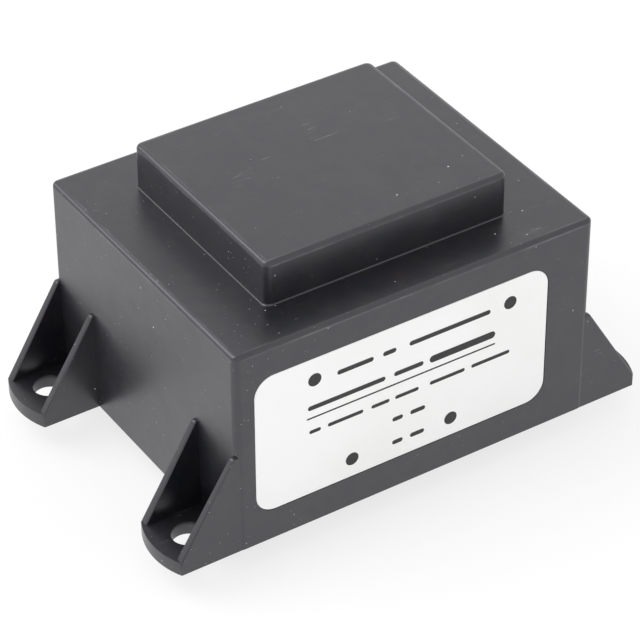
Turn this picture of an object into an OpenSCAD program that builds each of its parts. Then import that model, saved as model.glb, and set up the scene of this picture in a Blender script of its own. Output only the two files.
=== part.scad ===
// Encapsulated mains transformer for a printed circuit board.
// A laminated E and I core with a two chamber coil former stands in a moulded case, potted with resin.
// Frame: +X along the label side, -Y out of the label side, +Z up.
// The origin is on the board, in the middle of the four screw holes.

/* [Laminated core] */
// Length of a lamination, over the two outer legs
lam_l = 54; // [50:0.5:58]
// Width of the I lamination and of the yoke and outer legs of the E
leg_w = 9; // [8:0.25:10]
// Width of the centre leg, which the coil sits on
centre_leg_w = 18; // [16:0.5:20]
// Length of the window, along the legs
window_l = 27; // [25:0.5:30]
// Height of the stack of laminations
stack_h = 18.8; // [16:0.2:21]

/* [Moulded case] */
// Wall thickness of the case
wall_t = 1.3; // [1:0.1:1.8]
// Thickness of the roof and of the roof of the hump
roof_t = 1.3; // [1.1:0.1:1.8]
// Resin between the core and the case wall
core_gap = 0.2; // [0.15:0.05:0.6]
// Resin between the top of the core and the shoulder roof
shoulder_gap = 2.3; // [1.5:0.1:3]
// Radius of the upright corners
corner_r = 0.9; // [0.6:0.1:1.2]
// Radius of the shoulder edges
edge_r = 1; // [0.6:0.1:1.2]

/* [Hump over the coil] */
// Resin between the coil former and the long walls of the hump
hump_side_gap = 0.15; // [0.15:0.05:1]
// Resin between the coil former and the short walls of the hump
hump_end_gap = 2.2; // [0.5:0.1:3]
// Resin between the coil former and the roof of the hump
hump_top_gap = 0.4; // [0.3:0.1:1.2]
// Radius of the upright corners of the hump
hump_corner_r = 0.8; // [0.6:0.1:1.2]
// Radius of the top edges of the hump
hump_edge_r = 0.9; // [0.6:0.1:1.2]
// Radius of the fillet at the foot of the hump
foot_r = 0.3; // [0.2:0.05:0.5]

/* [Screw lugs] */
// Width of a lug
lug_w = 10.6; // [9.5:0.1:11.5]
// Reach of a lug's rounded tip beyond the end wall
lug_reach = 10; // [9:0.1:11]
// Radius of the rounded tip
lug_tip_r = 9.5; // [8:0.25:12]
// Thickness of the lug plate
lug_t = 2.1; // [1.6:0.1:2.8]
// Step from the side of the case to the side of the lug
lug_inset = 0.05; // [0.05:0.05:0.3]
// Thickness of the two gusset webs of a lug
web_t = 1.3; // [1:0.1:1.6]
// Height of the webs at the end wall
web_h = 16.2; // [12:0.2:20]
// Length of the level step at the top of a web
web_step = 0.55; // [0.3:0.05:1]
// Radius of the long edges of a web
web_edge_r = 0.3; // [0.1:0.05:0.4]
// Diameter of the screw holes
hole_d = 4.6; // [3.6:0.1:5]
// Distance from the end wall to the middle of a hole
hole_out = 4.8; // [4:0.1:5.5]
// Distance from the side of the case to the middle of a hole
hole_side = 5; // [4.6:0.1:5.6]

/* [Label] */
// Length of the label
label_l = 46.7; // [30:0.1:50]
// Height of the label
label_h = 22.4; // [12:0.1:23]
// Corner radius of the label
label_r = 3; // [1:0.25:5]
// Thickness of the label
label_t = 0.12; // [0.08:0.01:0.14]
// Distance from the middle of the case to the middle of the label, to the left
label_shift = 2.2; // [0:0.1:3]
// Height of the lower edge of the label above the board
label_z = 5.1; // [4:0.1:6]
// Depth of the shallow panel that the label lies in
panel_t = 0.15; // [0.15:0.01:0.3]
// Margin between the label and the edge of its panel
panel_gap = 0.1; // [0.05:0.05:0.4]

/* [Coil former] */
// Clearance between the coil former and the centre leg
tube_gap = 0.2; // [0.1:0.05:0.4]
// Wall thickness of the tube of the coil former
tube_t = 0.9; // [0.6:0.1:1.2]
// Thickness of the two end flanges
flange_t = 0.9; // [0.7:0.1:1.2]
// Clearance between the flanges and the core's window, all round
window_gap = 0.3; // [0.2:0.05:0.6]
// Clearance between the flanges and the yokes
yoke_gap = 0.2; // [0.1:0.05:0.4]
// Thickness of the partition between the two chambers
partition_t = 1; // [0.8:0.1:2]
// Clearance between the terminal rails and the underside of the core
rail_gap = 0.3; // [0.2:0.1:0.8]
// Distance that a rail reaches beyond its row of pins
rail_lip = 1.9; // [1.2:0.1:2.5]
// Height of the guide ribs under the rails
guide_h = 0.9; // [0.5:0.1:1]
// Width of the guide ribs between the pin places
guide_w = 1.6; // [1:0.1:2]

/* [Windings] */
// Thickness of the tape over each winding
tape_t = 0.35; // [0.2:0.05:0.6]
// Height of the flange edge above the tape
tape_lip = 0.65; // [0.3:0.05:1]
// Outer corner radius of the windings
coil_r = 5; // [3:0.5:6]
// Radius of the primary lead-out wire
primary_lead_r = 0.3; // [0.2:0.05:0.4]
// Radius of the secondary lead-out wire
secondary_lead_r = 0.45; // [0.3:0.05:0.5]
// Depth of the lead-outs' axis inside the underside of the windings
lead_in = 0.55; // [0.5:0.05:0.8]
// Height of the wire wound round each pin
wrap_h = 1.2; // [0.8:0.1:1.4]

/* [Terminal pins] */
// Spacing of the pin places along a row
pin_pitch = 5; // [5:0.04:5.08]
// Distance from a row of pins to the side of the case, before it is rounded to half a pitch
pin_edge = 6.5; // [5.5:0.1:7.5]
// Diameter of a pin
pin_d = 1; // [0.7:0.1:1.1]
// Diameter of the thicker shank of a pin, which is pressed into its rail
shank_d = 1.4; // [1.4:0.1:1.6]
// Length of a pin below the board face of the case
pin_l = 4; // [3:0.1:6]
// Length of the tapered tip of a pin
pin_tip = 0.3; // [0.2:0.1:0.6]
// Depth of a pin in its rail
pin_seat = 4.5; // [3:0.5:5.5]

/* [Potting] */
// Depth of the resin's surface above the rim of the case
pot_recess = 0.8; // [0.3:0.1:1.2]
// Resin between its surface and the coil former
pot_cover = 0.5; // [0.3:0.1:1]

/* [Hidden] */
round_fn = 64;
cut = 1;                     // how far a cutting shape runs past what it cuts

// core
lam_w = window_l + 2 * leg_w;
half_window = window_l / 2;
window_w = (lam_l - centre_leg_w) / 2 - leg_w;

// coil former, from the window outwards
tube_l = window_l - 2 * yoke_gap;
tube_half_x = centre_leg_w / 2 + tube_gap + tube_t;
tube_half_z = stack_h / 2 + tube_gap + tube_t;
flange_half_x = centre_leg_w / 2 + window_w - window_gap;
flange_half_z = tube_half_z + flange_half_x - tube_half_x;
flange_in = tube_l / 2 - flange_t;
coil_z = pot_recess + pot_cover + flange_half_z;      // height of the coil's axis
core_z = coil_z - stack_h / 2;                        // underside of the core
core_top = core_z + stack_h;

// windings
tape_half_x = flange_half_x - tape_lip;
tape_half_z = flange_half_z - tape_lip;
coil_half_x = tape_half_x - tape_t;
coil_half_z = tape_half_z - tape_t;
chamber_l = flange_in - partition_t / 2;
lead_z = coil_z - coil_half_z + lead_in;

// pins: place along the row, and row (-1 primary, 1 secondary)
pin_1 = [-2 * pin_pitch, -1];
pin_5 = [2 * pin_pitch, -1];
pin_7 = [pin_pitch, 1];
pin_9 = [-pin_pitch, 1];
primary_pins = [pin_1, pin_5];
secondary_pins = [pin_7, pin_9];
rail_z = lead_z + wrap_h / 2;                         // underside of the rails, on top of the wraps
lead_slot_w = 4 * secondary_lead_r;

// case, outwards from what it holds
body_l = lam_l + 2 * core_gap + 2 * wall_t;
body_w = lam_w + 2 * core_gap + 2 * wall_t;
shoulder_h = core_top + shoulder_gap + roof_t;
hump_l = 2 * (flange_half_x + hump_side_gap + wall_t);
hump_w = 2 * (tube_l / 2 + hump_end_gap + wall_t);
top_h = coil_z + flange_half_z + hump_top_gap + roof_t;

// rows of pins, inwards from the sides of the case, on the board's half pitch grid
row_grid = pin_pitch / 2;
row_gap = row_grid * round((body_w - 2 * pin_edge) / row_grid);
rail_end = row_gap / 2 + rail_lip;

// lugs
lug_out = body_w / 2 - lug_inset;                     // outer side of a lug
lug_mid = lug_out - lug_w / 2;
lug_tip_x = body_l / 2 + lug_reach;
lug_drop = lug_tip_r - sqrt(pow(lug_tip_r, 2) - pow(lug_w / 2, 2));
lug_corner_x = lug_tip_x - lug_drop;

// ---- shared shapes ----

module rounded_rect(l, w, r) {
    square([l - 2 * r, w], center = true);
    square([l, w - 2 * r], center = true);
    for (x = [-1, 1], y = [-1, 1])
        translate([x * (l / 2 - r), y * (w / 2 - r)]) circle(r = r, $fn = round_fn);
}

// upright profile on the X axis with its two top corners rounded
module arched_rect(l, h, r) {
    translate([-l / 2, 0]) square([l, h - r]);
    translate([-l / 2 + r, 0]) square([l - 2 * r, h]);
    for (x = [-1, 1]) translate([x * (l / 2 - r), h - r]) circle(r = r, $fn = round_fn);
}

// block standing on z = 0 with rounded upright corners and rounded top edges
module soft_block(l, w, h, corner, edge) {
    intersection() {
        linear_extrude(h) rounded_rect(l, w, corner);
        rotate([90, 0, 0]) linear_extrude(w + 2 * cut, center = true) arched_rect(l, h, edge);
        rotate([90, 0, 90]) linear_extrude(l + 2 * cut, center = true) arched_rect(w, h, edge);
    }
}

// block centred in x and y, from z0 to z1
module slab(l, w, z0, z1) {
    translate([-l / 2, -w / 2, z0]) cube([l, w, z1 - z0]);
}

// bar along Y from y0 to y1, round the coil's axis
module coil_bar(half_x, half_z, y0, y1, r = 0) {
    translate([0, y1, coil_z]) rotate([90, 0, 0]) linear_extrude(y1 - y0)
        if (r > 0) rounded_rect(2 * half_x, 2 * half_z, r);
        else square([2 * half_x, 2 * half_z], center = true);
}

// ---- core ----

module lamination_windows() {
    for (x = [-1, 1])
        translate([x * (centre_leg_w + window_w) / 2, 0, 0])
            slab(window_w, window_l, core_z - cut, core_top + cut);
}

module e_laminations() {
    color("gainsboro") difference() {
        translate([0, -leg_w / 2, 0]) slab(lam_l, window_l + leg_w, core_z, core_top);
        lamination_windows();
    }
}

module i_laminations() {
    color("silver")
        translate([0, half_window + leg_w / 2, 0]) slab(lam_l, leg_w, core_z, core_top);
}

// ---- coil former ----

module flange(side) {
    y0 = side < 0 ? -tube_l / 2 : flange_in;
    difference() {
        coil_bar(flange_half_x, flange_half_z, y0, y0 + flange_t);
        for (p = side < 0 ? primary_pins : secondary_pins)
            translate([p[0], 0, 0])
                translate([-lead_slot_w / 2, y0 - cut, 0]) cube([lead_slot_w, flange_t + 2 * cut, rail_z]);
    }
}

// rail that carries one row of pin places, with guide ribs between them
module rail(side) {
    rail_len = rail_end - tube_l / 2;
    y_mid = side * (tube_l / 2 + rail_len / 2);
    difference() {
        union() {
            translate([0, y_mid, 0])
                slab(2 * flange_half_x, rail_len, rail_z, core_z - rail_gap);
            for (i = [-3 : 2])
                translate([(i + 0.5) * pin_pitch, y_mid, 0])
                    slab(guide_w, rail_len, rail_z - guide_h, rail_z + cut);
        }
        for (p = side < 0 ? primary_pins : secondary_pins)
            translate([p[0], side * row_gap / 2, rail_z - cut])
                cylinder(d = shank_d, h = pin_seat + cut, $fn = round_fn);
    }
}

module coil_former() {
    color("ivory") {
        difference() {
            union() {
                coil_bar(tube_half_x, tube_half_z, -tube_l / 2, tube_l / 2);
                coil_bar(flange_half_x, flange_half_z, -partition_t / 2, partition_t / 2);
                for (side = [-1, 1]) flange(side);
            }
            coil_bar(tube_half_x - tube_t, tube_half_z - tube_t, -tube_l / 2 - cut, tube_l / 2 + cut);
        }
        for (side = [-1, 1]) rail(side);
    }
}

// ---- windings ----

module chamber_ring(side, half_x, half_z, hole_x, hole_z, r, hole_r) {
    y0 = side < 0 ? -flange_in : partition_t / 2;
    difference() {
        coil_bar(half_x, half_z, y0, y0 + chamber_l, r);
        coil_bar(hole_x, hole_z, y0 - cut, y0 + chamber_l + cut, hole_r);
    }
}

// wire from the end of a winding to its pin, wound round the pin under the rail
module lead_out(p, r, wrapped) {
    y_pin = p[1] * row_gap / 2;
    y_coil = p[1] * (flange_in - 2 * r);
    difference() {
        union() {
            translate([p[0], (y_pin + y_coil) / 2, lead_z]) rotate([90, 0, 0])
                cylinder(r = r, h = abs(y_pin - y_coil), center = true, $fn = round_fn / 2);
            translate([p[0], y_pin, lead_z])
                cylinder(r = shank_d / 2 + 2 * r, h = wrap_h, center = true, $fn = round_fn);
        }
        if (wrapped)
            translate([p[0], y_pin, lead_z])
                cylinder(d = shank_d, h = wrap_h + 2 * cut, center = true, $fn = round_fn);
    }
}

module winding(side, pins, lead_r) {
    chamber_ring(side, coil_half_x, coil_half_z, tube_half_x, tube_half_z, coil_r, 0);
    for (p = pins) lead_out(p, lead_r, true);
}

module tape(side) {
    chamber_ring(side, tape_half_x, tape_half_z, coil_half_x, coil_half_z, coil_r + tape_t, coil_r);
}

module primary_winding() { color("peru") winding(-1, primary_pins, primary_lead_r); }
module secondary_winding() { color("chocolate") winding(1, secondary_pins, secondary_lead_r); }
module primary_tape() { color("gold") tape(-1); }
module secondary_tape() { color("khaki") tape(1); }

// ---- terminal pins ----

module pin(p) {
    color("lightgray") translate([p[0], p[1] * row_gap / 2, 0]) {
        translate([0, 0, -pin_l]) cylinder(d1 = pin_d / 2, d2 = pin_d, h = pin_tip, $fn = round_fn);
        translate([0, 0, pin_tip - pin_l])
            cylinder(d = pin_d, h = pin_l - pin_tip + pot_recess, $fn = round_fn);
        translate([0, 0, pot_recess])
            cylinder(d = shank_d, h = rail_z + pin_seat - pot_recess, $fn = round_fn);
    }
}

module primary_pin_1() { pin(pin_1); }
module primary_pin_5() { pin(pin_5); }
module secondary_pin_7() { pin(pin_7); }
module secondary_pin_9() { pin(pin_9); }

// ---- potting ----

module cavity(floor_z) {
    slab(body_l - 2 * wall_t, body_w - 2 * wall_t, floor_z, shoulder_h - roof_t);
    slab(hump_l - 2 * wall_t, hump_w - 2 * wall_t, floor_z, top_h - roof_t);
}

// everything that the resin flows round, with the coil as one solid block
module potted_parts() {
    difference() {
        slab(lam_l, lam_w, core_z, core_top);
        lamination_windows();
    }
    difference() {
        union() {
            for (side = [-1, 1]) {
                flange(side);
                coil_bar(tape_half_x, tape_half_z, min(0, side * flange_in), max(0, side * flange_in),
                         coil_r + tape_t);
            }
            coil_bar(flange_half_x, flange_half_z, -partition_t / 2, partition_t / 2);
        }
        coil_bar(tube_half_x - tube_t, tube_half_z - tube_t, -tube_l / 2 - cut, tube_l / 2 + cut);
    }
    for (side = [-1, 1]) rail(side);
    for (p = primary_pins) lead_out(p, primary_lead_r, false);
    for (p = secondary_pins) lead_out(p, secondary_lead_r, false);
    for (p = concat(primary_pins, secondary_pins))
        translate([p[0], p[1] * row_gap / 2, 0])
            cylinder(d = shank_d, h = rail_z + pin_seat, $fn = round_fn);
}

module potting_resin() {
    color("dimgray") difference() {
        cavity(pot_recess);
        potted_parts();
    }
}

// ---- case ----

module lug_plate() {
    intersection() {
        translate([body_l / 2 - wall_t, -lug_w / 2, 0]) cube([lug_reach + wall_t, lug_w, lug_t]);
        translate([lug_tip_x - lug_tip_r, 0, -cut])
            cylinder(r = lug_tip_r, h = lug_t + 2 * cut, $fn = 2 * round_fn);
    }
}

// gusset: its outline, cut by a bar along the slope that has rounded long edges
module web() {
    top_x = body_l / 2 + web_step;
    slope = atan2(web_h - lug_t, lug_corner_x - top_x);
    intersection() {
        translate([0, web_t / 2, 0]) rotate([90, 0, 0]) linear_extrude(web_t)
            polygon([[body_l / 2 - wall_t, 0], [lug_corner_x, 0], [lug_corner_x, lug_t],
                     [top_x, web_h], [body_l / 2 - wall_t, web_h]]);
        translate([lug_corner_x, 0, lug_t]) rotate([0, slope, 0]) translate([0, 0, -2 * web_h])
            rotate([90, 0, 90]) linear_extrude(4 * web_h, center = true)
                arched_rect(web_t, 2 * web_h, web_edge_r);
    }
}

module lug() {
    translate([0, lug_mid, 0]) {
        lug_plate();
        for (y = [-1, 1]) translate([0, y * (lug_w - web_t) / 2, 0]) web();
    }
}

module screw_hole() {
    translate([body_l / 2 + hole_out, body_w / 2 - hole_side, -cut])
        cylinder(d = hole_d, h = lug_t + 2 * cut, $fn = round_fn);
}

// section of the fillet at the foot of the hump: x out of the wall, y up from the shoulder
module foot_profile() {
    difference() {
        translate([-foot_r, -foot_r]) square(2 * foot_r);
        translate([foot_r, foot_r]) circle(r = foot_r, $fn = round_fn);
    }
}

// straight stretch of the fillet along the +Y wall of a hump of length l and width w
module foot_run(l, w) {
    translate([0, w / 2, 0]) rotate([90, 0, 90])
        linear_extrude(l - 2 * hump_corner_r, center = true) foot_profile();
}

module foot_corner() {
    translate([hump_l / 2 - hump_corner_r, hump_w / 2 - hump_corner_r, 0])
        rotate_extrude(angle = 90, $fn = round_fn) translate([hump_corner_r, 0]) foot_profile();
}

module hump_foot() {
    translate([0, 0, shoulder_h])
        for (a = [0, 1]) {
            mirror([0, a, 0]) foot_run(hump_l, hump_w);
            mirror([a, 0, 0]) rotate([0, 0, 90]) foot_run(hump_w, hump_l);
            for (b = [0, 1]) mirror([a, 0, 0]) mirror([0, b, 0]) foot_corner();
        }
}

module case() {
    color("darkslategray") difference() {
        union() {
            soft_block(body_l, body_w, shoulder_h, corner_r, edge_r);
            soft_block(hump_l, hump_w, top_h, hump_corner_r, hump_edge_r);
            hump_foot();
            for (x = [0, 1], y = [0, 1]) mirror([x, 0, 0]) mirror([0, y, 0]) lug();
        }
        cavity(-cut);
        for (x = [0, 1], y = [0, 1]) mirror([x, 0, 0]) mirror([0, y, 0]) screw_hole();
        label_plate(label_l + 2 * panel_gap, label_h + 2 * panel_gap, label_r + panel_gap,
                    panel_t, body_w / 2 + cut);
    }
}

// ---- label ----

// rounded plate that starts depth inside the label side and ends at y = -out
module label_plate(l, h, r, depth, out) {
    translate([-label_shift, -body_w / 2 + depth, label_z + label_h / 2]) rotate([90, 0, 0])
        linear_extrude(out - body_w / 2 + depth) rounded_rect(l, h, r);
}

module label() {
    color("whitesmoke")
        label_plate(label_l, label_h, label_r, panel_t, body_w / 2 - panel_t + label_t);
}

case();
potting_resin();
e_laminations();
i_laminations();
coil_former();
primary_winding();
secondary_winding();
primary_tape();
secondary_tape();
primary_pin_1();
primary_pin_5();
secondary_pin_7();
secondary_pin_9();
label();
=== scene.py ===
# Encapsulated transformer for a circuit board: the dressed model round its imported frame.
import bpy
import bmesh
import math
from mathutils import Euler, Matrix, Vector


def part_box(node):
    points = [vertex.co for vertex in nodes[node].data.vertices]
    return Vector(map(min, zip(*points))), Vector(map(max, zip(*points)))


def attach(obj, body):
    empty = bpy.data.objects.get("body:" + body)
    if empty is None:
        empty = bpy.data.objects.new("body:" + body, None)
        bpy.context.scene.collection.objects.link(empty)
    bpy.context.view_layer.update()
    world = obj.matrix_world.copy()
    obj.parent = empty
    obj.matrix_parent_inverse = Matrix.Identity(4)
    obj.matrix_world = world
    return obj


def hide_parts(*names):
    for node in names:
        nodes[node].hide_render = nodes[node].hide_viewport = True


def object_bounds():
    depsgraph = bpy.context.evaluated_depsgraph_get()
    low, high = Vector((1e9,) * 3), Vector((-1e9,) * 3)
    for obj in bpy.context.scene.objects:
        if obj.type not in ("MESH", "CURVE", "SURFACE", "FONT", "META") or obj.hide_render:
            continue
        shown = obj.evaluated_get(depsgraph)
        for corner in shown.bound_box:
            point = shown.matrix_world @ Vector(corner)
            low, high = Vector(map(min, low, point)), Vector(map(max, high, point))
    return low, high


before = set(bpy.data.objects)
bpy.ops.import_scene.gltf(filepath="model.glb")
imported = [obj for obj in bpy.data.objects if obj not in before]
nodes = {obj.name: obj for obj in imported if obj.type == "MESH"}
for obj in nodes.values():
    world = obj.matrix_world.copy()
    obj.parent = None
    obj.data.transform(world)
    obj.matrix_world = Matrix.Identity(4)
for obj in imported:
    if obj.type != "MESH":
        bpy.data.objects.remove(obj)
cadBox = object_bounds()
mm = 0.001
tolerances = {
    "near": 0.004 * mm,          # places this close count as the same
    "merge": 0.001 * mm,         # vertices this close become one
    "flatAngle": 0.2,            # degrees: faces that turn by less are joined
}


# modelling helpers

def clearSelection():
    if bpy.context.object and bpy.context.object.mode != "OBJECT":
        bpy.ops.object.mode_set(mode="OBJECT")
    bpy.ops.object.select_all(action="DESELECT")


def makeActive(piece):
    clearSelection()
    piece.select_set(True)
    bpy.context.view_layer.objects.active = piece


def namePiece(name):
    piece = bpy.context.active_object
    piece.name = name
    piece.data.name = name
    bpy.ops.object.transform_apply(location=True, rotation=True, scale=True)
    return piece


def addBlock(name, low, high):
    clearSelection()
    low, high = Vector(low), Vector(high)
    bpy.ops.mesh.primitive_cube_add(size=1, location=(low + high) / 2, scale=high - low)
    return namePiece(name)


def startEdit(piece, kind):
    makeActive(piece)
    bpy.ops.object.mode_set(mode="EDIT")
    bpy.ops.mesh.select_mode(type=kind)
    bpy.ops.mesh.select_all(action="DESELECT")


def endEdit():
    bpy.ops.object.mode_set(mode="OBJECT")


def pickFaces(piece, test):
    mesh = bmesh.from_edit_mesh(piece.data)
    bpy.ops.mesh.select_all(action="DESELECT")
    for face in mesh.faces:
        if test(face.calc_center_median(), face.normal):
            face.select_set(True)
    bmesh.update_edit_mesh(piece.data)


def pickEdges(piece, test):
    mesh = bmesh.from_edit_mesh(piece.data)
    bpy.ops.mesh.select_all(action="DESELECT")
    for edge in mesh.edges:
        if test(edge.verts[0].co, edge.verts[1].co):
            edge.select_set(True)
    bmesh.update_edit_mesh(piece.data)


def pickVertices(piece, test):
    mesh = bmesh.from_edit_mesh(piece.data)
    bpy.ops.mesh.select_all(action="DESELECT")
    for vertex in mesh.verts:
        if test(vertex.co):
            vertex.select_set(True)
    bmesh.update_edit_mesh(piece.data)


def near(a, b):
    return abs(a - b) < tolerances["near"]


def runsAlongY(a, b):
    return near(a.x, b.x) and near(a.z, b.z)


def stepFace(size, newSize, centre):
    # draws a smaller face inside the picked one, in its own plane
    bpy.ops.mesh.extrude_region_move()
    scale = [newSize[i] / size[i] if size[i] else 1 for i in range(3)]
    bpy.ops.transform.resize(value=scale, center_override=centre)


def pushFace(shift):
    bpy.ops.mesh.extrude_region_move(TRANSFORM_OT_translate={"value": shift})


def cutAll(place, normal, clear):
    bpy.ops.mesh.select_all(action="SELECT")
    bpy.ops.mesh.bisect(plane_co=place, plane_no=normal, clear_outer=clear, threshold=tolerances["merge"])


def bevelPicked(radius, segments):
    bpy.ops.mesh.bevel(offset=radius, segments=segments, profile=0.5, affect="EDGES", clamp_overlap=False)


def boolean(piece, other, operation):
    makeActive(piece)
    change = piece.modifiers.new("boolean", "BOOLEAN")
    change.operation = operation
    change.solver = "MANIFOLD"
    change.object = other
    bpy.ops.object.modifier_apply(modifier=change.name)
    bpy.data.objects.remove(other)


def bevelSharp(piece, radius, segments, test, angle=40):
    # rounds the outward edges that turn by more than the angle, in degrees
    startEdit(piece, "EDGE")
    mesh = bmesh.from_edit_mesh(piece.data)
    for edge in mesh.edges:
        if edge.is_manifold and edge.calc_face_angle_signed() > math.radians(angle):
            edge.select_set(test(edge.verts[0].co) or test(edge.verts[1].co))
    bmesh.update_edit_mesh(piece.data)
    bevelPicked(radius, segments)
    endEdit()


def mergeFlat(piece):
    startEdit(piece, "FACE")
    bpy.ops.mesh.select_all(action="SELECT")
    bpy.ops.mesh.remove_doubles(threshold=tolerances["merge"])
    bpy.ops.mesh.dissolve_limited(angle_limit=math.radians(tolerances["flatAngle"]))
    endEdit()


def smoothPiece(piece, angle=32):
    # edges that turn by more than the angle, in degrees, stay sharp
    makeActive(piece)
    bpy.ops.object.shade_smooth_by_angle(angle=math.radians(angle))
    weighted = piece.modifiers.new("normals", "WEIGHTED_NORMAL")
    weighted.keep_sharp = True
    bpy.ops.object.modifier_apply(modifier=weighted.name)


def finishPiece(piece, slot, material, *replaced):
    piece.data.materials.clear()
    piece.data.materials.append(material)
    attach(piece, "root")
    if replaced:
        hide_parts(*replaced)


# material helpers

def startMaterial(name):
    material = bpy.data.materials.new(name)
    material.use_nodes = True
    tree = material.node_tree
    tree.nodes.clear()
    output = tree.nodes.new("ShaderNodeOutputMaterial")
    shader = tree.nodes.new("ShaderNodeBsdfPrincipled")
    place = tree.nodes.new("ShaderNodeTexCoord")
    tree.links.new(shader.outputs["BSDF"], output.inputs["Surface"])
    return material, tree, shader, place.outputs["Object"]


def turned(tree, coords, angles=(0, 0, 0), scale=(1, 1, 1), shift=(0, 0, 0)):
    mapping = tree.nodes.new("ShaderNodeMapping")
    mapping.inputs["Rotation"].default_value = [math.radians(a) for a in angles]
    mapping.inputs["Scale"].default_value = scale
    mapping.inputs["Location"].default_value = shift
    tree.links.new(coords, mapping.inputs["Vector"])
    return mapping.outputs["Vector"]


def noise(tree, coords, size, detail=2, rough=0.5):
    # size is the width of one patch, in metres
    texture = tree.nodes.new("ShaderNodeTexNoise")
    texture.inputs["Scale"].default_value = 1 / size
    texture.inputs["Detail"].default_value = detail
    texture.inputs["Roughness"].default_value = rough
    tree.links.new(coords, texture.inputs["Vector"])
    return texture.outputs["Fac"]


def cells(tree, coords, size):
    texture = tree.nodes.new("ShaderNodeTexVoronoi")
    texture.inputs["Scale"].default_value = 1 / size
    tree.links.new(coords, texture.inputs["Vector"])
    return texture.outputs


def ramp(tree, factor, low, high, start=0, end=1):
    # spreads low..high of the factor over start..end, and holds the ends
    spread = tree.nodes.new("ShaderNodeMapRange")
    for name, value in (("From Min", low), ("From Max", high), ("To Min", start), ("To Max", end)):
        spread.inputs[name].default_value = value
    tree.links.new(factor, spread.inputs["Value"])
    return spread.outputs["Result"]


def combine(tree, operation, a, b):
    maths = tree.nodes.new("ShaderNodeMath")
    maths.operation = operation
    for value, socket in ((a, maths.inputs[0]), (b, maths.inputs[1])):
        if isinstance(value, (int, float)):
            socket.default_value = value
        else:
            tree.links.new(value, socket)
    return maths.outputs[0]


def absolute(tree, value):
    return combine(tree, "ABSOLUTE", value, 0)


def axes(tree, coords):
    split = tree.nodes.new("ShaderNodeSeparateXYZ")
    tree.links.new(coords, split.inputs["Vector"])
    return split.outputs


def blendColours(tree, factor, a, b):
    mix = tree.nodes.new("ShaderNodeMix")
    mix.data_type = "RGBA"
    tree.links.new(factor, mix.inputs["Factor"])
    for value, socket in ((a, mix.inputs["A"]), (b, mix.inputs["B"])):
        if isinstance(value, tuple):
            socket.default_value = (*value, 1)
        else:
            tree.links.new(value, socket)
    return mix.outputs["Result"]


def setColour(tree, shader, colour):
    tree.links.new(colour, shader.inputs["Base Color"])


def setRoughness(tree, shader, factor, ends, low=0.3, high=0.7):
    # goes from one end to the other as the factor goes from low to high
    tree.links.new(ramp(tree, factor, low, high, *ends), shader.inputs["Roughness"])


def addBump(tree, shader, *layers):
    # each layer is a height from 0 to 1 and its depth in metres
    normal = None
    for height, depth in layers:
        bump = tree.nodes.new("ShaderNodeBump")
        bump.inputs["Strength"].default_value = 1
        bump.inputs["Distance"].default_value = depth
        tree.links.new(height, bump.inputs["Height"])
        if normal:
            tree.links.new(normal, bump.inputs["Normal"])
        normal = bump.outputs["Normal"]
    tree.links.new(normal, shader.inputs["Normal"])


# moulded case

caseLow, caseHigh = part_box("case")
resinLow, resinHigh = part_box("potting_resin")
caseSettings = {
    "wall": 1.3 * mm,
    "shoulderHeight": 32.4 * mm,
    "humpLength": 38.3 * mm,
    "humpWidth": 33.6 * mm,
    "cornerRadius": 1.1 * mm,    # of the upright edges
    "topRadius": 0.65 * mm,      # of the edges round the shoulder and round the top
    "footRadius": 0.3 * mm,      # of the hollow edge round the foot of the hump
    "rimRadius": 0.2 * mm,       # of the outer edge on the board side
    "lipRadius": 0.1 * mm,       # of the inner edge on the board side
}
caseX, caseY = resinHigh.x + caseSettings["wall"], caseHigh.y  # half sizes, without the lugs
humpX, humpY = caseSettings["humpLength"] / 2, caseSettings["humpWidth"] / 2


plasticSettings = {
    "colour": (0.0046, 0.0044, 0.0064),
    "paleColour": (0.0118, 0.0102, 0.0122),
    "coolColour": (0.0050, 0.0066, 0.0112),
    "tint": (0.960, 0.942, 1.0),                  # of the reflection
    "roughness": (0.30, 0.36),
    "ior": 1.78,
    "broadPatch": 8 * mm,                         # widths of the patches of each shade
    "closePatch": 1.3 * mm,
    "coolPatch": 2.6 * mm,
    "glossPatch": 4 * mm,
    "waveSize": 11 * mm,
    "waveDepth": 0.0014 * mm,
    "grainSize": 0.17 * mm,
    "grainDepth": 0.0016 * mm,
    "dustColour": (0.58, 0.58, 0.59),
    "dustHeight": 0.004 * mm,
    "dustPatch": 9 * mm,
    "dustyEnd": (-18.8 * mm, -19.1 * mm),         # along X, where the end with more dust begins
    "fineDust": (0.6 * mm, 0.05 * mm, 0.2),       # cell, radius of a speck, share of cells with one
    "mediumDust": (1.2 * mm, 0.09 * mm, 0.22),
    "extraDust": (0.7 * mm, 0.06 * mm, 0.3),      # only on the dusty end
    "coarseDust": (2.6 * mm, 0.13 * mm, 0.32),
    # pale colour of the scratches, and of the edge lines that are wear and painted highlight
    "scuffAndHighlightColour": (0.115, 0.115, 0.12),
    "scratches": ((38, 1.3 * mm, 0.38), (-61, 1.7 * mm, 0.36)),  # direction, spacing, share of the patches
    "scratchStretch": 0.035,                      # a lower number makes them longer
    "scratchPatch": 5 * mm,
    "edgeLineWidth": 0.2 * mm,                        # of the rubbed line on each side of a rounded edge, which is also a painted highlight
    "edgeLineDepth": (0.12 * mm, 0.06 * mm),          # off a face, where that line ends and where it is full
    "edgeLineEnds": (9 * mm, 2 * mm),                 # from a block's ends, where the top line starts and is full
    "edgeLinePatch": 7 * mm,
    "edgeLineBreak": 0.9 * mm,
}


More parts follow.
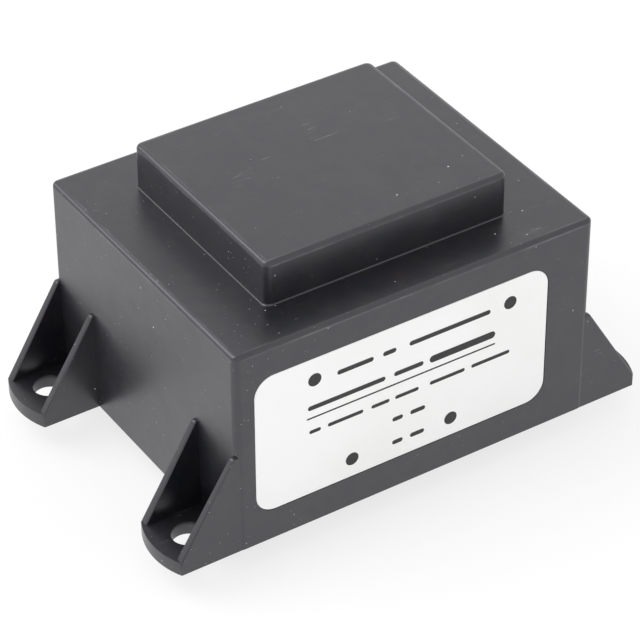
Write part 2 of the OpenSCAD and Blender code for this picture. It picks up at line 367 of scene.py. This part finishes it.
def dustDots(tree, coords, size, radius, share, mask):
    # scattered specks: one in a share of the cells, thinned out by the mask
    dots = cells(tree, coords, size)
    split = tree.nodes.new("ShaderNodeSeparateColor")
    tree.links.new(dots["Color"], split.inputs["Color"])
    pick = ramp(tree, split.outputs["Red"], 1 - share, 1 - share + 0.01)
    pick = combine(tree, "MULTIPLY", pick, ramp(tree, split.outputs["Green"], 0, 1, 0.12, 1))
    speck = ramp(tree, dots["Distance"], radius / size * 1.2, radius / size * 0.7)
    return combine(tree, "MULTIPLY", combine(tree, "MULTIPLY", speck, pick), mask)


def caseDust(tree, coords):
    # four kinds of specks, thicker in some patches and on the dusty end
    s = plasticSettings
    dustyEnd = ramp(tree, axes(tree, coords)["X"], *s["dustyEnd"])
    patches = ramp(tree, noise(tree, coords, s["dustPatch"], 3), 0.44, 0.56, 0.15, 1)
    patches = combine(tree, "MAXIMUM", patches, combine(tree, "MULTIPLY", dustyEnd, 0.85))
    fine = dustDots(tree, coords, *s["fineDust"], patches)
    medium = dustDots(tree, turned(tree, coords, (12, 25, 40)), *s["mediumDust"], patches)
    extra = dustDots(tree, turned(tree, coords, (52, 5, 30)), *s["extraDust"], dustyEnd)
    coarse = dustDots(tree, turned(tree, coords, (20, 35, 10)), *s["coarseDust"], 1)
    dust = combine(tree, "MULTIPLY", fine, 0.6)
    for specks in (medium, extra, coarse):
        dust = combine(tree, "MAXIMUM", dust, specks)
    return dust


def scratches(tree, coords, angle, spacing, share):
    # long thin marks along one direction, only in some patches
    s = plasticSettings
    flow = turned(tree, coords, (0, 0, angle), (s["scratchStretch"], 1, 1))
    line = combine(tree, "SUBTRACT", noise(tree, flow, spacing, 1), 0.5)
    thin = ramp(tree, absolute(tree, line), 0.0035, 0.001)
    patch = noise(tree, turned(tree, coords, shift=(angle, 0, 0)), s["scratchPatch"], 2)
    return combine(tree, "MULTIPLY", thin, ramp(tree, patch, 1 - share, 1.04 - share))


def lineAt(tree, distance, place, width):
    # 1 at one distance, fading to 0 over the width on both sides
    away = absolute(tree, combine(tree, "SUBTRACT", distance, place))
    return ramp(tree, away, width, 0)


def edgeWearAndHighlightLines(tree, coords, halfX, halfY, top):
    # 1 where the rounded top edge of a block begins, on its sides and on its top: a rubbed line that is also
    # a painted highlight
    s = plasticSettings
    radius, width = caseSettings["topRadius"], s["edgeLineWidth"]
    place = axes(tree, coords)
    fromEnd = combine(tree, "SUBTRACT", halfX, absolute(tree, place["X"]))
    fromSide = combine(tree, "SUBTRACT", halfY, absolute(tree, place["Y"]))
    inward = combine(tree, "MINIMUM", fromEnd, fromSide)
    down = combine(tree, "SUBTRACT", top, place["Z"])
    onFace = ramp(tree, absolute(tree, inward), *s["edgeLineDepth"])
    onSides = combine(tree, "MULTIPLY", lineAt(tree, down, radius, width), onFace)
    onFace = ramp(tree, absolute(tree, down), *s["edgeLineDepth"])
    onTop = combine(tree, "MULTIPLY", lineAt(tree, inward, radius, width), onFace)
    start, full = s["edgeLineEnds"]
    ends = ramp(tree, absolute(tree, place["X"]), halfX - start, halfX - full, 0.1, 1)
    return combine(tree, "MAXIMUM", onSides, combine(tree, "MULTIPLY", onTop, ends))


def caseWearAndHighlight(tree, coords):
    # fine scratches, and broken lines along the rounded edges that are partly rubbed wear and partly painted
    # highlight
    s = plasticSettings
    marks = combine(tree, "MAXIMUM", *[scratches(tree, coords, *mark) for mark in s["scratches"]])
    lines = combine(tree, "MAXIMUM",
                    edgeWearAndHighlightLines(tree, coords, caseX, caseY, caseSettings["shoulderHeight"]),
                    edgeWearAndHighlightLines(tree, coords, humpX, humpY, caseHigh.z))
    patches = ramp(tree, noise(tree, coords, s["edgeLinePatch"], 2), 0.38, 0.62, 0.15, 1)
    breaks = ramp(tree, noise(tree, coords, s["edgeLineBreak"], 4, 0.7), 0.3, 0.6, 0.35, 0.8)
    rubbedAndHighlit = combine(tree, "MULTIPLY", lines, combine(tree, "MULTIPLY", patches, breaks))
    return combine(tree, "MAXIMUM", combine(tree, "MULTIPLY", marks, 0.8), rubbedAndHighlit)


def casePlastic():
    s = plasticSettings
    material, tree, shader, coords = startMaterial("case_plastic")
    broad = ramp(tree, noise(tree, coords, s["broadPatch"], 3), 0.35, 0.65, 0, 0.55)
    close = ramp(tree, noise(tree, coords, s["closePatch"], 4, 0.65), 0.35, 0.7, 0, 0.75)
    colour = blendColours(tree, combine(tree, "ADD", broad, close), s["colour"], s["paleColour"])
    cool = noise(tree, turned(tree, coords, (40, 10, 70)), s["coolPatch"], 4, 0.6)
    colour = blendColours(tree, ramp(tree, cool, 0.45, 0.65), colour, s["coolColour"])
    dust = caseDust(tree, coords)
    colour = blendColours(tree, dust, colour, s["dustColour"])
    # the pale scuff colour paints the scratches, and the edge lines that stand for wear and for painted
    # highlight
    setColour(tree, shader, blendColours(tree, caseWearAndHighlight(tree, coords), colour, s["scuffAndHighlightColour"]))
    setRoughness(tree, shader, noise(tree, coords, s["glossPatch"], 5, 0.6), s["roughness"])
    shader.inputs["IOR"].default_value = s["ior"]
    shader.inputs["Specular Tint"].default_value = (*s["tint"], 1)
    wave = noise(tree, coords, s["waveSize"], 1)
    grain = noise(tree, coords, s["grainSize"], 2, 0.6)
    addBump(tree, shader, (wave, s["waveDepth"]), (grain, s["grainDepth"]), (dust, s["dustHeight"]))
    return material


def isUpright(a, b):
    return near(a.x, b.x) and near(a.y, b.y) and not near(a.z, b.z)


def isLevel(a, b, z):
    return near(a.z, z) and near(b.z, z)


def atCorner(p):
    return (near(abs(p.x), humpX) and near(abs(p.y), humpY)
            or near(abs(p.x), caseX) and near(abs(p.y), caseY))


def outward(p, halfX, halfY):
    # how far a point lies outside a block of these half sizes, below 0 inside it
    return max(abs(p.x) - halfX, abs(p.y) - halfY)


def buildBody():
    s = caseSettings
    wall, shoulder, top = s["wall"], s["shoulderHeight"], caseHigh.z
    body = addBlock("case_moulding", (-caseX, -caseY, 0), (caseX, caseY, shoulder))
    startEdit(body, "FACE")
    pickFaces(body, lambda p, n: n.z > 0.9)
    stepFace((caseX, caseY, 0), (humpX, humpY, 0), (0, 0, shoulder))
    pushFace((0, 0, top - shoulder))
    pickFaces(body, lambda p, n: n.z < -0.9)  # the open side, for the resin
    stepFace((caseX, caseY, 0), (caseX - wall, caseY - wall, 0), (0, 0, 0))
    pushFace((0, 0, shoulder - wall))
    stepFace((caseX - wall, caseY - wall, 0), (humpX - wall, humpY - wall, 0), (0, 0, shoulder - wall))
    pushFace((0, 0, top - shoulder))

    bpy.ops.mesh.select_mode(type="EDGE")
    pickEdges(body, lambda a, b: isUpright(a, b) and atCorner(a))
    bevelPicked(s["cornerRadius"], 8)
    onRim = lambda p: outward(p, caseX, caseY) > -s["cornerRadius"] / 2
    pickEdges(body, lambda a, b: isLevel(a, b, top) or isLevel(a, b, shoulder) and onRim(a) and onRim(b))
    bevelPicked(s["topRadius"], 5)
    atFoot = lambda p: -s["cornerRadius"] / 2 < outward(p, humpX, humpY) < 0.01 * mm
    pickEdges(body, lambda a, b: isLevel(a, b, shoulder) and atFoot(a) and atFoot(b))
    bevelPicked(s["footRadius"], 4)
    outside = lambda p: outward(p, caseX, caseY) > -wall / 2
    pickEdges(body, lambda a, b: isLevel(a, b, 0) and outside(a) and outside(b))
    bevelPicked(s["rimRadius"], 3)
    pickEdges(body, lambda a, b: isLevel(a, b, 0) and not outside(a) and not outside(b))
    bevelPicked(s["lipRadius"], 2)
    endEdit()
    return body


lugSettings = {
    "width": 10.6 * mm,
    "inset": 0.12 * mm,          # from the side of the case
    "tipRadius": 11.5 * mm,
    "thickness": 2.1 * mm,
    "webThickness": 1.3 * mm,
    "webHeight": 15.9 * mm,
    "webStep": 0.4 * mm,         # the level run at a web's top, beside the wall
    "webDraft": 0.3 * mm,        # how much thinner a web is at its top
    "webEdge": 0.24 * mm,        # bevel along the webs
    "rimEdge": 0.1 * mm,         # bevel along the other edges
    "holeRadius": 2.3 * mm,
    "holePlace": (33.3 * mm, 19 * mm),
    "rooted": 0.8 * mm,          # how far a lug runs into the wall
    "lift": 0.004 * mm,          # keeps its underside off the rim's plane, for a clean union
}


def buildLugBlank():
    # a lug on the +X side, centred on y = 0, with its two gusset webs
    s = lugSettings
    inX, stepX = caseX - s["rooted"], caseX + s["webStep"]
    halfW, webY = s["width"] / 2, s["width"] / 2 - s["webThickness"]
    low, rise = s["thickness"], s["webHeight"] - s["thickness"]
    clearSelection()
    bpy.ops.mesh.primitive_circle_add(vertices=180, radius=s["tipRadius"], fill_type="NGON",
                                      location=(caseHigh.x - s["tipRadius"], 0, 0))
    lug = namePiece("lug")
    startEdit(lug, "FACE")
    for place, normal in (((0, halfW, 0), (0, 1, 0)), ((0, -halfW, 0), (0, -1, 0)),
                          ((inX, 0, 0), (-1, 0, 0))):
        cutAll(place, normal, True)   # trims the disc to the outline of the plate
    endX = max(v.co.x for v in bmesh.from_edit_mesh(lug.data).verts if near(v.co.y, halfW))
    for place, normal in (((0, webY, 0), (0, 1, 0)), ((0, -webY, 0), (0, 1, 0)),
                          ((stepX, 0, 0), (1, 0, 0)), ((endX, 0, 0), (1, 0, 0))):
        cutAll(place, normal, False)  # draws the feet of the webs on it
    bpy.ops.mesh.select_all(action="SELECT")
    pushFace((0, 0, low))
    bpy.ops.mesh.select_all(action="SELECT")
    bpy.ops.mesh.normals_make_consistent(inside=False)
    pickFaces(lug, lambda p, n: near(p.z, low) and abs(p.y) > webY and p.x < endX)
    pushFace((0, 0, rise))
    bpy.ops.mesh.select_mode(type="VERT")
    pickVertices(lug, lambda p: near(p.z, low + rise) and near(p.x, endX))  # the low end of each slope
    bpy.ops.transform.translate(value=(0, 0, -rise))
    for side in (-1, 1):
        pickVertices(lug, lambda p: near(p.z, low + rise) and near(p.y, side * webY))
        bpy.ops.transform.translate(value=(0, side * s["webDraft"], 0))
    endEdit()
    mergeFlat(lug)
    bevelSharp(lug, s["webEdge"], 3, lambda p: p.x > caseX and p.z > 2 * low)
    return lug


def addLugs(body):
    s = lugSettings
    blank = buildLugBlank()
    midY = caseY - s["inset"] - s["width"] / 2
    holeX, holeY = s["holePlace"]
    for sideX in (-1, 1):
        for sideY in (-1, 1):
            makeActive(blank)
            bpy.ops.object.duplicate()
            lug = bpy.context.active_object
            lug.rotation_euler.z = 0 if sideX > 0 else math.pi
            lug.location = (0, sideY * midY, s["lift"])
            bpy.ops.object.transform_apply(location=True, rotation=True, scale=True)
            clearSelection()
            bpy.ops.mesh.primitive_cylinder_add(vertices=64, radius=s["holeRadius"],
                                                depth=4 * s["thickness"],  # well through the plate
                                                location=(sideX * holeX, sideY * holeY, 0))
            boolean(lug, namePiece("drill"), "DIFFERENCE")
            mergeFlat(lug)
            bevelSharp(lug, s["rimEdge"], 2, lambda p: abs(p.x) > caseX)
            boolean(body, lug, "UNION")
    bpy.data.objects.remove(blank)


labelLow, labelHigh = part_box("label")
panelSettings = {
    "depth": 0.15 * mm,
    "margin": 0.1 * mm,          # round the label
    "radius": 3.1 * mm,
    "clear": 1 * mm,             # how far the cutter stands out of the wall
}


def cutPanel(body):
    s = panelSettings
    front = caseLow.y
    low = Vector((labelLow.x - s["margin"], front - s["clear"], labelLow.z - s["margin"]))
    high = Vector((labelHigh.x + s["margin"], front + s["depth"], labelHigh.z + s["margin"]))
    cutter = addBlock("panel", low, high)
    startEdit(cutter, "EDGE")
    pickEdges(cutter, runsAlongY)
    bevelPicked(s["radius"], 10)
    endEdit()
    boolean(body, cutter, "DIFFERENCE")


caseBody = buildBody()
addLugs(caseBody)
cutPanel(caseBody)
mergeFlat(caseBody)
smoothPiece(caseBody)
finishPiece(caseBody, "case_plastic", casePlastic(), "case")
print("case modelled", len(caseBody.data.polygons), "faces")


# label

filmSettings = {
    "cornerRadius": 3 * mm,
    "edgeRadius": 0.03 * mm,
    "colour": (0.88, 0.885, 0.872),
    "paleColour": (0.905, 0.91, 0.905),
    "roughness": (0.42, 0.52),
    "shadePatch": 14 * mm,
    "glossPatch": 1.5 * mm,
    "waveSize": 4 * mm,
    "waveDepth": 0.004 * mm,
    "grainSize": 0.2 * mm,
    "grainDepth": 0.0006 * mm,
}


def labelFilm():
    s = filmSettings
    material, tree, shader, coords = startMaterial("label_film")
    shade = ramp(tree, noise(tree, coords, s["shadePatch"], 3), 0.35, 0.65)
    setColour(tree, shader, blendColours(tree, shade, s["colour"], s["paleColour"]))
    setRoughness(tree, shader, noise(tree, coords, s["glossPatch"], 4), s["roughness"])
    addBump(tree, shader, (noise(tree, coords, s["waveSize"], 2), s["waveDepth"]),
            (noise(tree, coords, s["grainSize"]), s["grainDepth"]))
    return material


def buildLabel():
    s = filmSettings
    film = addBlock("label_film", labelLow, labelHigh)
    startEdit(film, "EDGE")
    pickEdges(film, runsAlongY)
    bevelPicked(s["cornerRadius"], 16)
    pickEdges(film, lambda a, b: near(a.y, labelLow.y) and near(b.y, labelLow.y))
    bevelPicked(s["edgeRadius"], 3)
    endEdit()
    smoothPiece(film)
    finishPiece(film, "label_film", labelFilm(), "label")


printSettings = {
    "proud": 0.012 * mm,                          # of the film
    "rooted": 0.006 * mm,                         # into the film
    "dotRadius": 1.02 * mm,
    "dots": ((-16.3, 24.0), (14.95, 23.75), (-10.45, 8.05), (5.55, 8.05)),  # x and z, in millimetres
    "rule": (-17.6, 12.65, 17.82, 0.26),          # its two ends, height and thickness, in millimetres
    "rows": {                                     # height and thickness of a row, ends of its bars
        "first": (23.6, 0.74, ((-12.8, -7.1), (-5.6, -3.5), (-1.4, 11.7))),
        "second": (19.5, 0.74, ((-17.4, -5.2), (-3.8, 0.9))),
        "strong": (19.5, 1.15, ((1.9, 12.6),)),
        "third": (15.5, 0.58, ((-17.2, -15.4), (-14.3, -8.7), (-7.4, -4.5), (-3.6, 0.2),
                               (2.0, 7.7), (8.8, 15.1))),
        "fourth": (11.85, 0.7, ((-4.0, -2.3), (-1.1, 1.3))),
        "fifth": (7.9, 0.7, ((-4.0, -2.3), (-1.1, 1.2))),
    },
    "colour": (0.016, 0.015, 0.015),
    "paleColour": (0.030, 0.029, 0.029),
    "roughness": (0.5, 0.62),
    "thinPatch": 0.35 * mm,                       # where the ink covers less
    "glossPatch": 0.5 * mm,
    "grainSize": 0.15 * mm,
    "grainDepth": 0.001 * mm,
}


def printInk():
    s = printSettings
    material, tree, shader, coords = startMaterial("label_ink")
    cover = ramp(tree, noise(tree, coords, s["thinPatch"], 4, 0.7), 0.4, 0.72)
    setColour(tree, shader, blendColours(tree, cover, s["colour"], s["paleColour"]))
    setRoughness(tree, shader, noise(tree, coords, s["glossPatch"]), s["roughness"])
    addBump(tree, shader, (noise(tree, coords, s["grainSize"], 3), s["grainDepth"]))
    return material


def addBar(startX, endX, middle, thickness):
    # a flat bar with round ends, facing out of the label side
    place = ((startX + endX) / 2 * mm, labelLow.y, middle * mm)
    clearSelection()
    bpy.ops.mesh.primitive_plane_add(size=thickness * mm, rotation=(math.pi / 2, 0, 0), location=place)
    bar = namePiece("bar")
    startEdit(bar, "VERT")
    bpy.ops.mesh.select_all(action="SELECT")
    bpy.ops.transform.resize(value=((endX - startX) / thickness, 1, 1), center_override=place)
    bpy.ops.mesh.bevel(offset=0.499 * thickness * mm, segments=6, affect="VERTICES", clamp_overlap=False)
    endEdit()
    return bar


def buildPrint():
    s = printSettings
    marks = [addBar(*s["rule"])]
    for middle, thickness, bars in s["rows"].values():
        marks += [addBar(startX, endX, middle, thickness) for startX, endX in bars]
    for x, z in s["dots"]:
        clearSelection()
        bpy.ops.mesh.primitive_circle_add(vertices=48, radius=s["dotRadius"], fill_type="NGON",
                                          rotation=(math.pi / 2, 0, 0), location=(x * mm, labelLow.y, z * mm))
        marks.append(namePiece("dot"))
    makeActive(marks[0])
    for mark in marks:
        mark.select_set(True)
    bpy.ops.object.join()
    sheet = namePiece("label_print")
    startEdit(sheet, "FACE")
    bpy.ops.mesh.select_all(action="SELECT")
    bpy.ops.transform.translate(value=(0, s["rooted"], 0))
    pushFace((0, -s["proud"] - s["rooted"], 0))
    bpy.ops.mesh.select_all(action="SELECT")
    bpy.ops.mesh.normals_make_consistent(inside=False)
    endEdit()
    smoothPiece(sheet)
    finishPiece(sheet, "label_film", printInk())


buildLabel()
buildPrint()
print("label modelled")


# potting resin, seen from the board side

pinNames = ("primary_pin_1", "primary_pin_5", "secondary_pin_7", "secondary_pin_9")
resinSettings = {
    "skin": 0.015 * mm,          # how far the visible surface lies below the solid's
    "rooted": 0.1 * mm,          # how far it runs into the solid
    # distance from the wall or from the pin's axis, and how far the resin creeps out there, in millimetres
    "wallCurve": ((0, 0.34), (0.07, 0.21), (0.13, 0.12), (0.2, 0.06), (0.3, 0.02), (0.4, 0)),
    "pinCurve": ((0.5, 0.3), (0.56, 0.18), (0.64, 0.1), (0.76, 0.045), (0.95, 0.01), (1.15, -0.02)),
    "colour": (0.010, 0.010, 0.0108),
    "paleColour": (0.017, 0.017, 0.018),
    "roughness": (0.12, 0.24),
    "shadePatch": 9 * mm,
    "glossPatch": 5 * mm,
    "waveSize": 8 * mm,
    "waveDepth": 0.05 * mm,
    "bubbleSize": 3.1 * mm,
    "bubbleDepth": 0.06 * mm,
}


def castingResin():
    s = resinSettings
    material, tree, shader, coords = startMaterial("casting_resin")
    shade = ramp(tree, noise(tree, coords, s["shadePatch"], 4), 0.35, 0.65)
    setColour(tree, shader, blendColours(tree, shade, s["colour"], s["paleColour"]))
    setRoughness(tree, shader, noise(tree, coords, s["glossPatch"], 4), s["roughness"])
    bubbles = cells(tree, coords, s["bubbleSize"])
    pick = ramp(tree, bubbles["Color"], 0.82, 0.83)
    pits = combine(tree, "MULTIPLY", ramp(tree, bubbles["Distance"], 0.12, 0.04), pick)
    addBump(tree, shader, (noise(tree, coords, s["waveSize"], 2), s["waveDepth"]),
            (combine(tree, "SUBTRACT", 1, pits), s["bubbleDepth"]))
    return material


def addCollar(x, y, level):
    # the resin that creeps up round a pin
    s = resinSettings
    radius, rise = s["pinCurve"][-1]
    clearSelection()
    bpy.ops.mesh.primitive_circle_add(vertices=48, radius=radius * mm, fill_type="NGON",
                                      location=(x, y, level + s["rooted"]))
    collar = namePiece("collar")
    startEdit(collar, "FACE")
    bpy.ops.mesh.select_all(action="SELECT")
    pushFace((0, 0, -s["rooted"] - rise * mm))
    for start, end in zip(s["pinCurve"][::-1], s["pinCurve"][-2::-1]):
        pushFace((0, 0, (start[1] - end[1]) * mm))
        share = end[0] / start[0]
        bpy.ops.transform.resize(value=(share, share, 1), center_override=(x, y, 0))
    bpy.ops.mesh.select_all(action="SELECT")
    bpy.ops.mesh.normals_make_consistent(inside=False)
    endEdit()
    return collar


def buildResinFace():
    s = resinSettings
    level = resinLow.z
    skin = addBlock("resin_face", (resinLow.x, resinLow.y, level - s["wallCurve"][0][1] * mm),
                    (resinHigh.x, resinHigh.y, level + s["rooted"]))
    startEdit(skin, "FACE")
    pickFaces(skin, lambda p, n: n.z < -0.9)
    for start, end in zip(s["wallCurve"], s["wallCurve"][1:]):
        bpy.ops.mesh.inset(thickness=(end[0] - start[0]) * mm, depth=0)
        bpy.ops.transform.translate(value=(0, 0, (start[1] - end[1]) * mm))
    bpy.ops.transform.translate(value=(0, 0, -s["skin"]))
    endEdit()
    for name in pinNames:
        low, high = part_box(name)
        collar = addCollar((low.x + high.x) / 2, (low.y + high.y) / 2, level)
        makeActive(skin)
        collar.select_set(True)
        bpy.ops.object.join()
    smoothPiece(skin, 50)
    finishPiece(skin, "potting_resin", castingResin())
    return skin


resinFace = buildResinFace()
print("resin face modelled")


# finishes of the parts that stay as they are

def dressNode(name, material):
    for slot in nodes[name].material_slots:
        slot.material = material


def stripes(tree, coords, axis, pitch):
    # a rounded profile that repeats along one axis, from 0 at a joint to 1
    turns = combine(tree, "PINGPONG", combine(tree, "DIVIDE", axes(tree, coords)[axis], pitch / 2), 1)
    return combine(tree, "SINE", combine(tree, "MULTIPLY", turns, math.pi / 2), 0)


pinSettings = {
    "colour": (0.66, 0.655, 0.64),
    "dullColour": (0.47, 0.465, 0.45),
    "roughness": (0.2, 0.38),
    "drawnSize": 0.25 * mm,
    "drawnDepth": 0.004 * mm,
    "waveSize": 0.8 * mm,
    "waveDepth": 0.02 * mm,
}


def tinnedPin():
    s = pinSettings
    material, tree, shader, coords = startMaterial("tinned_pin")
    drawn = noise(tree, turned(tree, coords, scale=(1, 1, 0.12)), s["drawnSize"], 4)  # marks along the pin
    setColour(tree, shader, blendColours(tree, ramp(tree, drawn, 0.35, 0.7), s["colour"], s["dullColour"]))
    setRoughness(tree, shader, drawn, s["roughness"])
    shader.inputs["Metallic"].default_value = 1
    addBump(tree, shader, (noise(tree, coords, s["waveSize"], 3), s["waveDepth"]), (drawn, s["drawnDepth"]))
    return material


coreSettings = {
    "sheet": 0.5 * mm,
    "colour": (0.42, 0.43, 0.45),
    "seamColour": (0.12, 0.11, 0.10),
    "roughness": (0.34, 0.5),
    "grimePatch": 3 * mm,
    "glossPatch": 0.6 * mm,
    "seamDepth": 0.03 * mm,
    "grainSize": 0.2 * mm,
    "grainDepth": 0.004 * mm,
}


def coreSteel():
    s = coreSettings
    material, tree, shader, coords = startMaterial("core_steel")
    sheets = stripes(tree, coords, "Z", s["sheet"])
    grime = ramp(tree, noise(tree, coords, s["grimePatch"], 4), 0.35, 0.75, 0, 0.45)
    colour = blendColours(tree, grime, s["colour"], s["seamColour"])
    setColour(tree, shader, blendColours(tree, ramp(tree, sheets, 0.25, 0.05), colour, s["seamColour"]))
    setRoughness(tree, shader, noise(tree, coords, s["glossPatch"], 3), s["roughness"])
    shader.inputs["Metallic"].default_value = 1
    addBump(tree, shader, (ramp(tree, sheets, 0, 0.4), s["seamDepth"]),
            (noise(tree, coords, s["grainSize"]), s["grainDepth"]))
    return material


formerSettings = {
    "colour": (0.70, 0.68, 0.60),
    "paleColour": (0.76, 0.745, 0.68),
    "roughness": (0.4, 0.52),
    "shadePatch": 5 * mm,
    "glossPatch": 1 * mm,
    "grainSize": 0.25 * mm,
    "grainDepth": 0.006 * mm,
}


def formerPlastic():
    s = formerSettings
    material, tree, shader, coords = startMaterial("former_plastic")
    shade = ramp(tree, noise(tree, coords, s["shadePatch"], 4), 0.35, 0.65)
    setColour(tree, shader, blendColours(tree, shade, s["colour"], s["paleColour"]))
    setRoughness(tree, shader, noise(tree, coords, s["glossPatch"], 3), s["roughness"])
    addBump(tree, shader, (noise(tree, coords, s["grainSize"], 3), s["grainDepth"]))
    return material


wireSettings = {
    "colour": (0.60, 0.25, 0.11),
    # dark tone of random patches, and painted shade in the grooves between turns
    "darkToneAndShadeColour": (0.34, 0.12, 0.05),
    "roughness": (0.24, 0.36),
    "primaryPitch": 0.25 * mm,
    "secondaryPitch": 0.8 * mm,
    "turnDepth": 0.45,           # as a share of the pitch
}


def copperWire(name, pitch):
    s = wireSettings
    material, tree, shader, coords = startMaterial(name)
    turns = stripes(tree, coords, "Y", pitch)
    shade = ramp(tree, noise(tree, turned(tree, coords, scale=(0.2, 1, 0.2)), pitch, 2), 0.35, 0.7, 0, 0.5)
    colour = blendColours(tree, shade, s["colour"], s["darkToneAndShadeColour"])
    # painted shade: darker in the grooves between the turns
    setColour(tree, shader, blendColours(tree, ramp(tree, turns, 0.5, 0.1), colour, s["darkToneAndShadeColour"]))
    setRoughness(tree, shader, shade, s["roughness"], 0, 0.5)
    shader.inputs["Metallic"].default_value = 0.85
    addBump(tree, shader, (turns, pitch * s["turnDepth"]))
    return material


tapeSettings = {
    "colour": (0.80, 0.62, 0.16),
    "deepColour": (0.66, 0.46, 0.09),
    "roughness": (0.22, 0.34),
    "lap": 3.2 * mm,
    "lapDepth": 0.03 * mm,
    "shadePatch": 4 * mm,
    "waveSize": 2.5 * mm,
    "waveDepth": 0.03 * mm,
}


def windingTape():
    s = tapeSettings
    material, tree, shader, coords = startMaterial("winding_tape")
    laps = ramp(tree, stripes(tree, coords, "Y", s["lap"]), 0.02, 0.1)
    shade = ramp(tree, noise(tree, coords, s["shadePatch"], 3), 0.35, 0.7)
    colour = blendColours(tree, shade, s["colour"], s["deepColour"])
    setColour(tree, shader, blendColours(tree, laps, s["deepColour"], colour))
    setRoughness(tree, shader, shade, s["roughness"], 0, 1)
    addBump(tree, shader, (laps, s["lapDepth"]), (noise(tree, coords, s["waveSize"], 3), s["waveDepth"]))
    return material


dressNode("potting_resin", resinFace.data.materials[0])
pinFinish = tinnedPin()
for pinName in pinNames:
    dressNode(pinName, pinFinish)
coreFinish = coreSteel()
dressNode("e_laminations", coreFinish)
dressNode("i_laminations", coreFinish)
dressNode("coil_former", formerPlastic())
dressNode("primary_winding", copperWire("primary_wire", wireSettings["primaryPitch"]))
dressNode("secondary_winding", copperWire("secondary_wire", wireSettings["secondaryPitch"]))
tapeFinish = windingTape()
dressNode("primary_tape", tapeFinish)
dressNode("secondary_tape", tapeFinish)
print("finishes of the inner parts assigned")


# floor, lights and camera

stageSettings = {
    "floorSide": 6,              # metres
    "floorColour": (0.93, 0.93, 0.93),
    "shadowShare": 0.25,         # how much of the floor's own shading shows, the rest is glow
    "worldStrength": 0.9,
}


def isSeen(tree):
    # 1 for the camera and for what it sees in gloss or through glass
    path = tree.nodes.new("ShaderNodeLightPath")
    seen = combine(tree, "MAXIMUM", path.outputs["Is Camera Ray"], path.outputs["Is Glossy Ray"])
    return combine(tree, "MAXIMUM", seen, path.outputs["Is Transmission Ray"])


def floorMaterial():
    s = stageSettings
    material, tree, shader = startMaterial("pale_floor")[:3]
    shader.inputs["Base Color"].default_value = (*s["floorColour"], 1)
    shader.inputs["Roughness"].default_value = 0.9
    glow = tree.nodes.new("ShaderNodeEmission")
    clear = tree.nodes.new("ShaderNodeBsdfTransparent")
    geometry = tree.nodes.new("ShaderNodeNewGeometry")
    pale = tree.nodes.new("ShaderNodeMixShader")
    sides = tree.nodes.new("ShaderNodeMixShader")
    tree.links.new(combine(tree, "MULTIPLY", isSeen(tree), 1 - s["shadowShare"]), pale.inputs["Fac"])
    tree.links.new(shader.outputs["BSDF"], pale.inputs[1])
    tree.links.new(glow.outputs["Emission"], pale.inputs[2])
    tree.links.new(geometry.outputs["Backfacing"], sides.inputs["Fac"])  # clear from below
    tree.links.new(pale.outputs["Shader"], sides.inputs[1])
    tree.links.new(clear.outputs["BSDF"], sides.inputs[2])
    tree.links.new(sides.outputs["Shader"], tree.nodes["Material Output"].inputs["Surface"])
    material.cycles.emission_sampling = "NONE"  # so that a satin surface sees all of the glow
    return material


def buildFloor():
    clearSelection()
    bpy.ops.mesh.primitive_plane_add(size=stageSettings["floorSide"], location=(0, 0, cadBox[0].z))
    floor = namePiece("floor")
    floor.data.materials.append(floorMaterial())


def buildWorld():
    world = bpy.data.worlds.new("studio")
    world.use_nodes = True
    bpy.context.scene.world = world
    tree = world.node_tree
    background = tree.nodes["Background"]
    background.inputs["Color"].default_value = (1, 1, 1, 1)
    background.inputs["Strength"].default_value = stageSettings["worldStrength"]


lampTarget = Vector((0, 0, 0.015))
lampSettings = {                 # soft boxes, in metres and watts
    "sideBox": {"size": (0.9, 0.9), "place": (-0.62, 0.45, 0.85), "power": 7},
    "backBox": {"size": (0.6, 0.6), "place": (0.636, 1.101, 0.285), "power": 1.1},
    "frontBox": {"size": (0.6, 0.6), "place": (0, -1.126, 0.665), "power": 0.5},
}


def buildLamps():
    for name, s in lampSettings.items():
        light = bpy.data.lights.new(name, "AREA")
        light.shape = "RECTANGLE"
        light.size, light.size_y = s["size"]
        light.energy = s["power"]
        lamp = bpy.data.objects.new(name, light)
        bpy.context.scene.collection.objects.link(lamp)
        lamp.location = s["place"]
        lamp.rotation_euler = (lampTarget - lamp.location).to_track_quat("-Z", "Y").to_euler()


cameraSettings = {
    "place": (-0.19254, -0.29946, 0.28028),       # metres
    "target": (-0.000845, -0.001242, 0.013008),
    "roll": -0.285,                               # degrees
    "lens": 179.7,                                # millimetres, as the sensor's width
    "sensorWidth": 36,
    "clipStart": 0.01,
}


def buildCamera():
    s = cameraSettings
    camera = bpy.data.objects.new("camera", bpy.data.cameras.new("camera"))
    bpy.context.scene.collection.objects.link(camera)
    camera.data.sensor_width = s["sensorWidth"]
    camera.data.lens = s["lens"]
    camera.data.clip_start = s["clipStart"]
    camera.location = s["place"]
    aim = (Vector(s["target"]) - camera.location).to_track_quat("-Z", "Y")
    camera.rotation_euler = (aim @ Euler((0, 0, math.radians(s["roll"]))).to_quaternion()).to_euler()
    bpy.context.scene.camera = camera


buildFloor()
buildWorld()
buildLamps()
buildCamera()
bpy.context.scene.view_settings.view_transform = "Standard"
print("stage ready")
